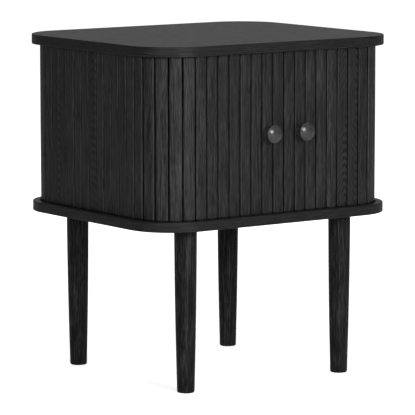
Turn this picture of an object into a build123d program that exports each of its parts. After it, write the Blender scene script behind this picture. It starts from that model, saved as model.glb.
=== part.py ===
"""Corner table: a small cabinet on four turned legs, closed by two slatted roll-front curtains.

Millimetres, +Z up, the front faces -Y. The origin is on the floor, in the middle of the table's
bounding box. Each curtain is a row of upright slats whose tongues run in a groove round the
bottom and top plates: they meet at a seam in the front and go round the front corners, along
the sides and into the back corners.
"""
from build123d import *
import math
import os

# Overall sizes
HEIGHT = 550.0
PLATE_WIDTH = 480.0
PLATE_DEPTH = 416.0
PLATE_RADIUS = 78.0
PLATE_THICKNESS = 16.0
BODY_HEIGHT = 288.0
ARRIS = 0.8
FIT_CLEARANCE = 0.05

# Curtains
SLAT_PITCH = 21.3
SLAT_WIDTH = 20.0
SLAT_THICKNESS = 5.0
SLAT_INSET = 12.5
SLAT_EDGE_CHAMFER = 0.8
HINGE_DEPTH = 4.0
END_GAP = 0.8
SEAM_X = 9.5
SLATS_PER_CURTAIN = 27
TONGUE_WIDTH = 7.0
TONGUE_THICKNESS = 2.0
TONGUE_TOP = 5.0
TONGUE_BOTTOM = 5.7
GROOVE_DEPTH = 6.0
GROOVE_OUT = 5.3
GROOVE_IN = 6.1

# Knobs, on the second slat of each curtain
KNOB_SLAT = 2
KNOB_REACH = 23.5
KNOB_RADIUS = 14.5
KNOB_FOOT_RADIUS = 8.8
KNOB_FOOT_THICKNESS = 1.2
KNOB_NECK_AT = 7.0
KNOB_NECK_RADIUS = 6.6
KNOB_HEAD_AT = 13.6
KNOB_HEAD_BACK_RADIUS = 10.9
KNOB_RIM_AT = 17.9
KNOB_SHOULDER = 1.6
SCREW_RADIUS = 2.0
SCREW_IN_KNOB = 12.0
SCREW_HEAD_RADIUS = 4.0
SCREW_HEAD_HEIGHT = 2.4
SCREW_CLEARANCE = 0.2

# Inner case
PANEL_THICKNESS = 15.0
PANEL_OUTER_X = 206.0
PANEL_HALF_DEPTH = 158.0
DOWEL_RADIUS = 4.0
DOWEL_IN_PLATE = 10.0
DOWEL_IN_PANEL = 18.0
DOWEL_OFFSET = 105.0

# Legs: one long arc through the radii at the top, the middle and the foot
LEG_X = 152.5
LEG_Y = 154.0
LEG_TOP_RADIUS = 18.1
LEG_MIDDLE_RADIUS = 16.9
LEG_MIDDLE_HEIGHT = 145.0
LEG_FOOT_RADIUS = 13.9
FOOT_ROUND = 2.5
BOLT_RADIUS = 4.0
BOLT_IN_LEG = 40.0
BOLT_IN_PLATE = 11.0
INSERT_RADIUS = 6.0
INSERT_LENGTH = 12.0

# Derived places
BODY_BOTTOM = HEIGHT - BODY_HEIGHT
CASE_BOTTOM = BODY_BOTTOM + PLATE_THICKNESS
CASE_TOP = HEIGHT - PLATE_THICKNESS
CORNER_X = PLATE_WIDTH / 2 - PLATE_RADIUS
CORNER_Y = PLATE_DEPTH / 2 - PLATE_RADIUS
HINGE_LINE_RADIUS = PLATE_RADIUS - SLAT_INSET - HINGE_DEPTH
HINGE_LINE_X = CORNER_X + HINGE_LINE_RADIUS
HINGE_LINE_Y = CORNER_Y + HINGE_LINE_RADIUS
SLAT_FACE_Y = -(PLATE_DEPTH / 2 - SLAT_INSET)
# The knobs reach past the plates in front, so the plates' centre lies behind the origin.
PLATE_CENTRE_Y = -(SLAT_FACE_Y - KNOB_REACH + PLATE_DEPTH / 2) / 2


def hinge_line(run, seam_x):
    """Point of the right-hand hinge line, `run` from the seam towards the back."""
    front = CORNER_X - seam_x
    bend = HINGE_LINE_RADIUS * math.pi / 2
    side = 2 * CORNER_Y
    if run <= front:
        return seam_x + run, -HINGE_LINE_Y
    run -= front
    if run <= bend:
        turn = run / HINGE_LINE_RADIUS
        return (CORNER_X + HINGE_LINE_RADIUS * math.sin(turn),
                -CORNER_Y - HINGE_LINE_RADIUS * math.cos(turn))
    run -= bend
    if run <= side:
        return HINGE_LINE_X, -CORNER_Y + run
    run -= side
    if run <= bend:
        turn = run / HINGE_LINE_RADIUS
        return (CORNER_X + HINGE_LINE_RADIUS * math.cos(turn),
                CORNER_Y + HINGE_LINE_RADIUS * math.sin(turn))
    return CORNER_X - (run - bend), HINGE_LINE_Y


def hinge_points(count, seam_x):
    """Points one pitch apart, as chords, along the right-hand hinge line."""
    run = 0.0
    points = [hinge_line(run, seam_x)]
    for _ in range(count):
        low = run + 0.98 * SLAT_PITCH
        high = run + 1.03 * SLAT_PITCH
        for _ in range(50):
            run = (low + high) / 2
            if math.dist(points[-1], hinge_line(run, seam_x)) < SLAT_PITCH:
                low = run
            else:
                high = run
        points.append(hinge_line(run, seam_x))
    return points


def slat_places(side, count=SLATS_PER_CURTAIN):
    """Middle and turn (degrees) of each slat of one closed curtain; side is +1 right, -1 left."""
    points = hinge_points(count, side * SEAM_X)
    places = []
    for (x0, y0), (x1, y1) in zip(points, points[1:]):
        turn = math.degrees(math.atan2(y1 - y0, x1 - x0))
        places.append((side * (x0 + x1) / 2, (y0 + y1) / 2, side * turn))
    return places


def make_slat():
    """One slat at the origin: its outer face towards -Y, a tongue at each end."""
    middle_y = SLAT_THICKNESS / 2 - HINGE_DEPTH
    section = Pos(0, middle_y) * Rectangle(SLAT_WIDTH, SLAT_THICKNESS)
    outer_corners = section.vertices().group_by(Axis.Y)[0]
    section = chamfer(outer_corners, SLAT_EDGE_CHAMFER)
    low = CASE_BOTTOM + END_GAP
    high = CASE_TOP - END_GAP
    blade = Pos(0, 0, low) * extrude(section, high - low)
    tongue_low = CASE_BOTTOM - TONGUE_BOTTOM
    tongue_height = CASE_TOP + TONGUE_TOP - tongue_low
    tongue = Pos(0, 0, tongue_low) * extrude(Rectangle(TONGUE_WIDTH, TONGUE_THICKNESS), tongue_height)
    return blade + tongue


def drill_for_knob(slat):
    """The same slat with the clearance hole of the knob's screw."""
    hole = Pos(0, 0, (CASE_BOTTOM + CASE_TOP) / 2) * Rot(90, 0, 0) * Cylinder(
        SCREW_RADIUS + SCREW_CLEARANCE, 4 * SLAT_THICKNESS)
    return slat - hole


def make_knob():
    """Domed knob: foot, hollow waist and a round head, turned about the axis that points to -Y."""
    neck = (-KNOB_NECK_AT, KNOB_NECK_RADIUS)
    head_back = (-KNOB_HEAD_AT, KNOB_HEAD_BACK_RADIUS)
    rim_middle = (-(0.45 * KNOB_HEAD_AT + 0.55 * KNOB_RIM_AT), KNOB_RADIUS - 1.0)
    rim = (-KNOB_RIM_AT, KNOB_RADIUS)
    shoulder_middle = (-KNOB_RIM_AT - 0.64 * KNOB_SHOULDER, KNOB_RADIUS - 0.2 * KNOB_SHOULDER)
    shoulder = (-KNOB_RIM_AT - KNOB_SHOULDER, KNOB_RADIUS - 0.7 * KNOB_SHOULDER)
    crown = KNOB_REACH + shoulder[0]
    dome_radius = (crown ** 2 + shoulder[1] ** 2) / (2 * crown)
    half_turn = math.asin(shoulder[1] / dome_radius) / 2
    dome_middle = (-KNOB_REACH + dome_radius * (1 - math.cos(half_turn)), dome_radius * math.sin(half_turn))
    with BuildPart() as knob:
        with BuildSketch(Plane.YZ):
            with BuildLine():
                foot = Line((0, KNOB_FOOT_RADIUS), (-KNOB_FOOT_THICKNESS, KNOB_FOOT_RADIUS))
                ThreePointArc(foot @ 1, neck, head_back)
                ThreePointArc(head_back, rim_middle, rim)
                ThreePointArc(rim, shoulder_middle, shoulder)
                ThreePointArc(shoulder, dome_middle, (-KNOB_REACH, 0))
                Polyline((-KNOB_REACH, 0), (0, 0), foot @ 0)
            make_face()
        revolve(axis=Axis.Y)
    bore_radius = SCREW_RADIUS + FIT_CLEARANCE
    bore = Pos(0, -SCREW_IN_KNOB / 2, 0) * Rot(90, 0, 0) * Cylinder(bore_radius, SCREW_IN_KNOB)
    return knob.part - bore


def make_knob_screw():
    """Screw from inside the case, through the slat and into the knob, its axis along Y."""
    length = SCREW_IN_KNOB + SLAT_THICKNESS
    shank = Pos(0, length / 2 - SCREW_IN_KNOB, 0) * Rot(90, 0, 0) * Cylinder(SCREW_RADIUS, length)
    head_y = SLAT_THICKNESS + SCREW_HEAD_HEIGHT / 2
    head = Pos(0, head_y, 0) * Rot(90, 0, 0) * Cylinder(SCREW_HEAD_RADIUS, SCREW_HEAD_HEIGHT)
    return shank + head


def ring(outer, inner, depth):
    """Groove volume: a band between two offsets of the hinge line, outwards and inwards."""
    half_x = HINGE_LINE_X
    half_y = HINGE_LINE_Y
    outside = RectangleRounded(2 * (half_x + outer), 2 * (half_y + outer), HINGE_LINE_RADIUS + outer)
    inside = RectangleRounded(2 * (half_x - inner), 2 * (half_y - inner), HINGE_LINE_RADIUS - inner)
    return extrude(outside - inside, depth)


def dowel_points():
    """Plan places of the dowels, two in each end of both side panels and of the back panel."""
    side_x = PANEL_OUTER_X - PANEL_THICKNESS / 2
    back_y = PANEL_HALF_DEPTH - PANEL_THICKNESS / 2
    steps = (-DOWEL_OFFSET, DOWEL_OFFSET)
    points = [(side * side_x, step) for side in (-1, 1) for step in steps]
    return points + [(step, back_y) for step in steps]


def upright_holes(points, radius, low, high):
    """Round holes or rods from height low to height high at each plan point."""
    rod = Pos(0, 0, (low + high) / 2) * Cylinder(radius, high - low)
    return [Pos(x, y, 0) * rod for x, y in points]


def make_plate(low, groove_low, dowel_range):
    """Top or bottom plate: rounded corners, softened edges, curtain groove and dowel holes."""
    plate = Pos(0, 0, low) * extrude(
        RectangleRounded(PLATE_WIDTH, PLATE_DEPTH, PLATE_RADIUS), PLATE_THICKNESS)
    plate = chamfer(plate.edges().filter_by(Plane.XY), ARRIS)
    plate -= Pos(0, 0, groove_low) * ring(GROOVE_OUT, GROOVE_IN, GROOVE_DEPTH)
    for hole in upright_holes(dowel_points(), DOWEL_RADIUS + FIT_CLEARANCE, *dowel_range):
        plate -= hole
    return plate


def leg_points():
    """Plan places of the legs by name."""
    return {
        "leg_front_left": (-LEG_X, -LEG_Y),
        "leg_front_right": (LEG_X, -LEG_Y),
        "leg_back_left": (-LEG_X, LEG_Y),
        "leg_back_right": (LEG_X, LEG_Y),
    }


def make_leg():
    """Turned leg on the Z axis: fullest at the top, a gentle swell, and a taper to a rounded foot."""
    bend = FOOT_ROUND * (1 - math.sqrt(0.5))
    sole_radius = LEG_FOOT_RADIUS - FOOT_ROUND
    top = (LEG_TOP_RADIUS, BODY_BOTTOM)
    foot = (LEG_FOOT_RADIUS, FOOT_ROUND)
    with BuildPart() as leg:
        with BuildSketch(Plane.XZ):
            with BuildLine():
                ThreePointArc(top, (LEG_MIDDLE_RADIUS, LEG_MIDDLE_HEIGHT), foot)
                ThreePointArc(foot, (LEG_FOOT_RADIUS - bend, bend), (sole_radius, 0))
                Polyline((sole_radius, 0), (0, 0), (0, BODY_BOTTOM), top)
            make_face()
        revolve(axis=Axis.Z)
    bore_radius = BOLT_RADIUS + FIT_CLEARANCE
    bore = Pos(0, 0, BODY_BOTTOM - BOLT_IN_LEG / 2) * Cylinder(bore_radius, BOLT_IN_LEG)
    return leg.part - bore


def make_panels():
    """Inner side panels and back panel, with the holes of their dowels in both ends."""
    height = CASE_TOP - CASE_BOTTOM
    middle_z = (CASE_TOP + CASE_BOTTOM) / 2
    side = Box(PANEL_THICKNESS, 2 * PANEL_HALF_DEPTH, height)
    side_x = PANEL_OUTER_X - PANEL_THICKNESS / 2
    back_width = 2 * (PANEL_OUTER_X - PANEL_THICKNESS)
    back_y = PANEL_HALF_DEPTH - PANEL_THICKNESS / 2
    panels = {
        "side_panel_left": Pos(-side_x, 0, middle_z) * side,
        "side_panel_right": Pos(side_x, 0, middle_z) * side,
        "back_panel": Pos(0, back_y, middle_z) * Box(back_width, PANEL_THICKNESS, height),
    }
    points = dowel_points()
    radius = DOWEL_RADIUS + FIT_CLEARANCE
    holes = upright_holes(points, radius, CASE_BOTTOM, CASE_BOTTOM + DOWEL_IN_PANEL)
    holes += upright_holes(points, radius, CASE_TOP - DOWEL_IN_PANEL, CASE_TOP)
    owners = [name for name in panels for _ in range(2)] * 2
    for owner, hole in zip(owners, holes):
        panels[owner] -= hole
    return panels


def make_carcass():
    """Everything that stands still: plates, inner case, legs and their fastenings."""
    top_dowels = (CASE_TOP - DOWEL_IN_PANEL, CASE_TOP + DOWEL_IN_PLATE)
    bottom_dowels = (CASE_BOTTOM - DOWEL_IN_PLATE, CASE_BOTTOM + DOWEL_IN_PANEL)
    nodes = {
        "top_plate": make_plate(CASE_TOP, CASE_TOP, (CASE_TOP, top_dowels[1])),
        "bottom_plate": make_plate(BODY_BOTTOM, CASE_BOTTOM - GROOVE_DEPTH,
                                   (bottom_dowels[0], CASE_BOTTOM)),
    }
    nodes.update(make_panels())
    rods = upright_holes(dowel_points(), DOWEL_RADIUS, *top_dowels)
    rods += upright_holes(dowel_points(), DOWEL_RADIUS, *bottom_dowels)
    nodes["panel_dowels"] = Compound(rods)

    spots = list(leg_points().values())
    insert_range = (BODY_BOTTOM, BODY_BOTTOM + INSERT_LENGTH)
    for hole in upright_holes(spots, INSERT_RADIUS + FIT_CLEARANCE, *insert_range):
        nodes["bottom_plate"] -= hole
    sleeve = Pos(0, 0, sum(insert_range) / 2) * (
        Cylinder(INSERT_RADIUS, INSERT_LENGTH) - Cylinder(BOLT_RADIUS + FIT_CLEARANCE, INSERT_LENGTH))
    nodes["leg_inserts"] = Compound([Pos(x, y, 0) * sleeve for x, y in spots])
    bolts = upright_holes(spots, BOLT_RADIUS, BODY_BOTTOM - BOLT_IN_LEG, BODY_BOTTOM + BOLT_IN_PLATE)
    nodes["leg_hanger_bolts"] = Compound(bolts)
    leg = make_leg()
    for name, (x, y) in leg_points().items():
        nodes[name] = Pos(x, y, 0) * leg
    return nodes


def make_curtain(side, word, side_run):
    """One curtain. side_run names the first and last slat that never leave the straight side."""
    slat = make_slat()
    knob_slat = drill_for_knob(slat)
    middle_z = (CASE_BOTTOM + CASE_TOP) / 2
    first, last = side_run
    nodes = {}
    along_side = []
    for number, (x, y, turn) in enumerate(slat_places(side), start=1):
        shape = knob_slat if number == KNOB_SLAT else slat
        placed = Location((x, y, 0), (0, 0, turn)) * shape
        if first <= number <= last:
            along_side.append(placed)
        else:
            nodes[f"slat_{word}_{number:02d}"] = placed
        if number == KNOB_SLAT:
            nodes[f"knob_{word}"] = Pos(x, SLAT_FACE_Y, middle_z) * make_knob()
            nodes[f"knob_screw_{word}"] = Pos(x, SLAT_FACE_Y, middle_z) * make_knob_screw()
    nodes[f"slats_{word}_side"] = Compound(along_side)
    return nodes


def main():
    """Build every piece and write one STEP file for each."""
    nodes = make_carcass()
    nodes.update(make_curtain(1, "right", (13, 19)))
    nodes.update(make_curtain(-1, "left", (14, 20)))
    os.makedirs("parts", exist_ok=True)
    for name, shape in nodes.items():
        export_step(Pos(0, PLATE_CENTRE_Y, 0) * shape, f"parts/{name}.step")
    print(len(nodes), "nodes, plates' centre at y =", PLATE_CENTRE_Y)


if __name__ == "__main__":
    main()
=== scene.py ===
"""Corner table with two slatted roll-front curtains: surfaces, finishes, light and camera.

Metres, +Z up, the front faces -Y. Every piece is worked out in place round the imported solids:
the two plates as profiles carried round a rounded rectangle, the slats as lofted strips set
along the curtain track, the legs and the knobs as turned profiles.
"""

import logging
import math
from dataclasses import dataclass, field
from enum import Enum

import bpy
import numpy as np
from mathutils import Matrix, Vector


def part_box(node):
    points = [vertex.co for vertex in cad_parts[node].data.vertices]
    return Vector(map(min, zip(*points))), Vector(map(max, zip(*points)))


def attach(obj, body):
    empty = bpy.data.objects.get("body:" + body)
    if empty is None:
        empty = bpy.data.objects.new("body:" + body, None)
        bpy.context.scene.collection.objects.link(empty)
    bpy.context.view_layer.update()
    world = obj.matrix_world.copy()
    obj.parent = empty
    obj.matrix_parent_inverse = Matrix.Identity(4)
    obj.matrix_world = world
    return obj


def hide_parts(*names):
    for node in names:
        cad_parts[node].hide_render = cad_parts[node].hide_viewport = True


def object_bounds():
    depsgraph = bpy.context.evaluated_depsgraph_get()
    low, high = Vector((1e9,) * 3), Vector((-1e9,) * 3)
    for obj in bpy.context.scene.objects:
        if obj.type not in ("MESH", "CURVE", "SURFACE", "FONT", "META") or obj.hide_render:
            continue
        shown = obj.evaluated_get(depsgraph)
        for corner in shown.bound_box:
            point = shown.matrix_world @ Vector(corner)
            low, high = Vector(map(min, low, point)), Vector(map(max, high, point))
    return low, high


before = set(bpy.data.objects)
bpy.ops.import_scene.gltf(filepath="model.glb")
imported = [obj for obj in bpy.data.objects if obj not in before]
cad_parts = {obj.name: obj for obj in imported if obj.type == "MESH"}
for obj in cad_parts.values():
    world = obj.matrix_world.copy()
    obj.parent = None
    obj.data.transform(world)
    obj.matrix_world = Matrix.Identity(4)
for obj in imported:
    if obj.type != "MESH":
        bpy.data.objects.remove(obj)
CAD_BOX = [list(map(float, corner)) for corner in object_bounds()]

logging.basicConfig(level=logging.INFO, format="%(message)s")
log = logging.getLogger("corner_table")

Socket = bpy.types.NodeSocket
Material = bpy.types.Material
Piece = bpy.types.Object
Pair = tuple[float, float]
Triple = tuple[float, float, float]

MM = 0.001
GRAIN_MAP = "grain"
BOARD = "board"
TONE = "tone"
FLAME = "arch_share"
BOW = "bow"
SLOPE = "slope"
SMOOTH_LIMIT = math.radians(32)
HAIR = 1e-9
TOP_BOARD = 3.1
BOTTOM_BOARD = 7.7


class Grain(Enum):
    """Where a wooden surface takes the run of its grain from."""

    STRIP = "the grain map: U across the grain, V along it"
    UPRIGHT = "the solid wood itself, with the grain upright"


class Layer(Enum):
    """Material index of a made piece's faces; EDGE is also a slat's cloth and a knob's waist,
    darker as painted shade. FLANK takes a slat's sides, darkened as painted shade, and BEVEL its
    bevels, paled as a painted highlight.
    """

    FACE = 0
    EDGE = 1
    FLANK = 2
    BEVEL = 3


# Shader building


class ShaderSheet:
    """Adds shader nodes to one material and wires them."""

    def __init__(self, name: str) -> None:
        """Start an empty material with a principled surface.

        Args:
            name: The finish's name.
        """
        self.material = bpy.data.materials.new(name)
        self.material.use_nodes = True
        self.tree = self.material.node_tree
        self.tree.nodes.clear()
        self.output = self.tree.nodes.new("ShaderNodeOutputMaterial")
        self.surface = self.tree.nodes.new("ShaderNodeBsdfPrincipled")
        self.link(self.surface.outputs[0], self.output.inputs["Surface"])

    def link(self, start: Socket, end: Socket) -> None:
        """Wire one socket to another."""
        self.tree.links.new(start, end)

    def put(self, socket: Socket, value: object) -> None:
        """Wire a socket or set a plain value.

        Args:
            socket: The input to fill.
            value: Another node's output, a number or a tuple.
        """
        if isinstance(value, Socket):
            self.link(value, socket)
        else:
            socket.default_value = value

    def math(self, operation: str, *values: object) -> Socket:
        """Apply one arithmetic step.

        Args:
            operation: The name of the step.
            values: Its operands, numbers or sockets.

        Returns:
            The result's socket.
        """
        node = self.tree.nodes.new("ShaderNodeMath")
        node.operation = operation
        for socket, value in zip(node.inputs, values):
            self.put(socket, value)
        return node.outputs[0]

    def plus(self, one: object, other: object) -> Socket:
        """Add two numbers or sockets."""
        return self.math("ADD", one, other)

    def minus(self, one: object, other: object) -> Socket:
        """Take the second number or socket from the first."""
        return self.math("SUBTRACT", one, other)

    def times(self, one: object, other: object) -> Socket:
        """Multiply two numbers or sockets."""
        return self.math("MULTIPLY", one, other)

    def spread(self, value: object, low: float, high: float,
               at_low: float, at_high: float) -> Socket:
        """Map a value from one range to another, held at its ends.

        Args:
            value: The socket to map.
            low: Start of the range read.
            high: End of the range read.
            at_low: Result at the start.
            at_high: Result at the end.

        Returns:
            The mapped socket.
        """
        node = self.tree.nodes.new("ShaderNodeMapRange")
        names = ("From Min", "From Max", "To Min", "To Max")
        for name, number in zip(names, (low, high, at_low, at_high)):
            node.inputs[name].default_value = number
        self.put(node.inputs["Value"], value)
        return node.outputs["Result"]

    def scaled(self, vector: Socket, per_metre: Triple) -> Socket:
        """Stretch a vector by a number of pattern units per metre on each axis.

        Args:
            vector: Place in metres.
            per_metre: Units per metre across, through and along.

        Returns:
            The stretched vector.
        """
        node = self.tree.nodes.new("ShaderNodeMapping")
        node.inputs["Scale"].default_value = per_metre
        self.link(vector, node.inputs["Vector"])
        return node.outputs[0]

    def noise(self, vector: Socket, per_metre: Triple, detail: float = 2.0,
              roughness: float = 0.5) -> Socket:
        """Smooth noise, about 0.5 on average.

        Args:
            vector: Place in metres.
            per_metre: Features per metre on each axis.
            detail: Octaves of finer noise.
            roughness: Weight of the finer octaves.

        Returns:
            The noise value.
        """
        node = self.tree.nodes.new("ShaderNodeTexNoise")
        node.inputs["Scale"].default_value = 1.0
        node.inputs["Detail"].default_value = detail
        node.inputs["Roughness"].default_value = roughness
        self.link(self.scaled(vector, per_metre), node.inputs["Vector"])
        return node.outputs["Fac"]

    def paint(self, shade: object, dark: Triple, pale: Triple) -> None:
        """Colour the surface.

        Args:
            shade: 0 gives the dark colour, 1 the pale one.
            dark: Dark colour.
            pale: Pale colour.
        """
        node = self.tree.nodes.new("ShaderNodeMix")
        node.data_type = "RGBA"
        self.put(node.inputs["Factor"], shade)
        self.put(node.inputs[6], (*dark, 1.0))
        self.put(node.inputs[7], (*pale, 1.0))
        self.link(node.outputs[2], self.surface.inputs["Base Color"])

    def roughen(self, roughness: object) -> None:
        """Set the surface's roughness, a number or a socket."""
        self.put(self.surface.inputs["Roughness"], roughness)

    def apart(self, vector: Socket) -> tuple[Socket, Socket, Socket]:
        """Take a vector apart into its three parts."""
        node = self.tree.nodes.new("ShaderNodeSeparateXYZ")
        self.link(vector, node.inputs[0])
        return tuple(node.outputs)

    def attribute(self, name: str) -> Socket:
        """Read a number stored on the piece's own mesh."""
        node = self.tree.nodes.new("ShaderNodeAttribute")
        node.attribute_name = name
        return node.outputs["Fac"]

    def place(self, grain: Grain) -> Socket:
        """Place in metres with X across the grain, Y from board to board, Z along the grain.

        Args:
            grain: Where the run of the grain comes from.

        Returns:
            The place vector.
        """
        if grain is Grain.UPRIGHT:
            return self.tree.nodes.new("ShaderNodeTexCoord").outputs["Object"]
        uv = self.tree.nodes.new("ShaderNodeUVMap")
        uv.uv_map = GRAIN_MAP
        across, along, _ = self.apart(uv.outputs[0])
        leaning = self.plus(across, self.times(self.attribute(SLOPE), along))
        joined = self.tree.nodes.new("ShaderNodeCombineXYZ")
        for socket, part in zip(joined.inputs, (leaning, self.attribute(BOARD), along)):
            self.link(part, socket)
        return joined.outputs[0]

    def relief(self, height: object, depth: float) -> None:
        """Bump the surface.

        Args:
            height: Height between 0 and 1.
            depth: What a height of 1 stands for, in metres.
        """
        node = self.tree.nodes.new("ShaderNodeBump")
        node.inputs["Strength"].default_value = 1.0
        node.inputs["Distance"].default_value = depth
        self.put(node.inputs["Height"], height)
        self.link(node.outputs[0], self.surface.inputs["Normal"])

    def gloss(self, level: float) -> None:
        """Set the specular level on the surface's own socket; 0.5 is plain varnish."""
        self.surface.inputs["Specular IOR Level"].default_value = level


# Finishes


@dataclass(frozen=True)
class StainedOak:
    """Open-grained oak under a black stain: growth lines, fibre streaks and short dark pores.

    Each scale counts features per metre across the grain, from board to board and along the grain.
    """

    name: str
    grain: Grain = Grain.STRIP
    dark: Triple = (0.0040, 0.0040, 0.0041)
    pale: Triple = (0.0560, 0.0560, 0.0570)
    ground: float = 0.27
    least_shade: float = 0.03
    line_pitch: float = 3.6 * MM
    line_strength: float = 0.16
    close_lines: float = 3.0
    close_weight: float = 0.6
    wander_scale: Triple = (60.0, 300.0, 7.0)
    wander_turns: float = 6.0
    patch_scale: Triple = (60.0, 300.0, 8.0)
    fibre_scale: Triple = (480.0, 300.0, 13.0)
    fibre_strength: float = 1.65
    fine_scale: Triple = (950.0, 300.0, 60.0)
    fine_strength: float = 1.5
    cloud_scale: Triple = (140.0, 300.0, 6.0)
    cloud_strength: float = 0.50
    pore_scale: Triple = (700.0, 300.0, 55.0)
    pore_range: Pair = (0.58, 0.68)
    pore_strength: float = 0.26
    roughness: float = 0.44
    pore_roughness: float = 0.2
    fibre_roughness: float = 0.15
    gloss_level: float = 0.15
    relief: float = 0.22 * MM
    fibre_height: float = 0.5
    fine_height: float = 0.5
    pore_depth: float = 0.7
    flame_pitch: float = 13.0 * MM
    flame_apex: float = 5.0 * MM
    flame_gain: float = 2.6
    flame_wander: float = 0.35
    flame_fibre: float = 0.5
    has_board: bool = True

    def on_flames(self, sheet: ShaderSheet, factor: float) -> object:
        """Factor that is 1 on plain wood and the given one on boards with an arched figure."""
        if not self.has_board:
            return 1.0
        return sheet.spread(sheet.attribute(FLAME), 0.0, 1.0, 1.0, factor)

    def rings(self, sheet: ShaderSheet, place: Socket) -> Socket:
        """Growth lines between 0 and 1, one main wave and one three times as close.

        The waves count across / pitch, or on a flame board (along + bow * (across - apex)^2)
        / pitch, which draws nested arches. Noise shifts the count, so that the lines wander.

        Args:
            sheet: The shader being built.
            place: Place across, through and along the grain.

        Returns:
            The lines' shade.
        """
        across, _, along = sheet.apart(place)
        wander = sheet.noise(place, self.wander_scale)
        shift = sheet.times(wander, self.wander_turns)
        count = sheet.math("DIVIDE", across, self.line_pitch)
        if self.has_board:
            share = sheet.attribute(FLAME)
            offset = sheet.minus(across, self.flame_apex)
            arch = sheet.times(sheet.times(offset, offset), sheet.attribute(BOW))
            flame = sheet.math("DIVIDE", sheet.plus(along, arch), self.flame_pitch)
            shift = sheet.times(shift, self.on_flames(sheet, self.flame_wander))
            plain = sheet.times(count, sheet.minus(1.0, share))
            count = sheet.plus(plain, sheet.times(flame, share))
        turn = sheet.times(sheet.plus(count, shift), math.tau)
        close = sheet.math("SINE", sheet.times(turn, self.close_lines))
        wave = sheet.plus(sheet.math("SINE", turn), sheet.times(close, self.close_weight))
        reach = 1.0 + self.close_weight
        return sheet.spread(wave, -reach, reach, 0.0, 1.0)

    def build(self) -> Material:
        """Build the finish.

        Returns:
            The material.
        """
        sheet = ShaderSheet(self.name)
        place = sheet.place(self.grain)
        lines = self.rings(sheet, place)
        patch = sheet.noise(place, self.patch_scale, detail=1.0)
        patch = sheet.spread(patch, 0.35, 0.62, 0.15, 1.0)
        fibre = sheet.noise(place, self.fibre_scale, roughness=0.65)
        fine = sheet.noise(place, self.fine_scale, roughness=0.6)
        cloud = sheet.noise(place, self.cloud_scale)
        streak = sheet.noise(place, self.pore_scale, detail=1.0)
        pores = sheet.spread(streak, *self.pore_range, 0.0, 1.0)
        pores = sheet.times(pores, sheet.spread(lines, 0.2, 0.8, 1.0, 0.3))

        gain = sheet.times(patch, 2.0 * self.line_strength)
        gain = sheet.times(gain, self.on_flames(sheet, self.flame_gain))
        shade = sheet.plus(sheet.times(sheet.minus(lines, 0.5), gain), self.ground)
        calm = self.on_flames(sheet, self.flame_fibre)
        layers = (
            (fibre, self.fibre_strength),
            (fine, self.fine_strength),
            (cloud, self.cloud_strength),
        )
        for layer, strength in layers:
            part = sheet.times(sheet.minus(layer, 0.5), strength)
            shade = sheet.plus(shade, sheet.times(part, calm))
        shade = sheet.minus(shade, sheet.times(pores, self.pore_strength))
        if self.has_board:
            shade = sheet.times(shade, sheet.attribute(TONE))
        shade = sheet.math("MAXIMUM", shade, self.least_shade)
        sheet.paint(sheet.math("MINIMUM", shade, 1.0), self.dark, self.pale)

        rough = sheet.plus(sheet.times(pores, self.pore_roughness), self.roughness)
        sheet.roughen(sheet.plus(rough, sheet.times(sheet.minus(fibre, 0.5), self.fibre_roughness)))
        hollow = sheet.times(pores, self.pore_depth)
        height = sheet.minus(sheet.times(fine, self.fine_height), hollow)
        height = sheet.plus(height, sheet.times(fibre, self.fibre_height))
        sheet.relief(height, self.relief)
        sheet.gloss(self.gloss_level)
        return sheet.material


@dataclass(frozen=True)
class SprayedLacquer:
    """Smooth black lacquer on the knobs, with the slight ripple of a sprayed coat."""

    name: str
    colour: Triple = (0.036, 0.036, 0.037)
    variation: float = 0.15
    roughness: float = 0.27
    gloss_level: float = 0.38
    haze_per_metre: float = 120.0
    ripple_per_metre: float = 350.0
    ripple: float = 0.015 * MM

    def build(self) -> Material:
        """Build the finish.

        Returns:
            The material.
        """
        sheet = ShaderSheet(self.name)
        place = sheet.place(Grain.UPRIGHT)
        haze = sheet.noise(place, (self.haze_per_metre,) * 3, detail=3.0)
        shade = sheet.spread(haze, 0.3, 0.7, 0.0, 1.0)
        low, high = 1.0 - self.variation, 1.0 + self.variation
        dark = tuple(low * part for part in self.colour)
        pale = tuple(high * part for part in self.colour)
        sheet.paint(shade, dark, pale)
        sheet.roughen(sheet.times(sheet.spread(shade, 0.0, 1.0, low, high), self.roughness))
        sheet.relief(sheet.noise(place, (self.ripple_per_metre,) * 3, detail=1.0), self.ripple)
        sheet.gloss(self.gloss_level)
        return sheet.material


@dataclass(frozen=True)
class CurtainCloth:
    """Black canvas glued behind the slats: threads crossing over and under."""

    name: str
    thread_pitch: float = 0.9 * MM
    dark: Triple = (0.006, 0.006, 0.006)
    pale: Triple = (0.035, 0.035, 0.036)
    slub_scale: Triple = (400.0, 100.0, 60.0)
    roughness: float = 0.9
    gloss_level: float = 0.15
    relief: float = 0.15 * MM

    def build(self) -> Material:
        """Build the finish. The weave is sin(across) * sin(along), one turn to two threads.

        Returns:
            The material.
        """
        sheet = ShaderSheet(self.name)
        place = sheet.place(Grain.STRIP)
        across, _, along = sheet.apart(place)
        turns = math.pi / self.thread_pitch
        warp = sheet.math("SINE", sheet.times(across, turns))
        weft = sheet.math("SINE", sheet.times(along, turns))
        weave = sheet.spread(sheet.times(warp, weft), -1.0, 1.0, 0.0, 1.0)
        slub = sheet.spread(sheet.noise(place, self.slub_scale), 0.3, 0.7, 0.5, 1.0)
        sheet.paint(sheet.times(weave, slub), self.dark, self.pale)
        sheet.roughen(self.roughness)
        sheet.relief(weave, self.relief)
        sheet.gloss(self.gloss_level)
        return sheet.material


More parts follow.
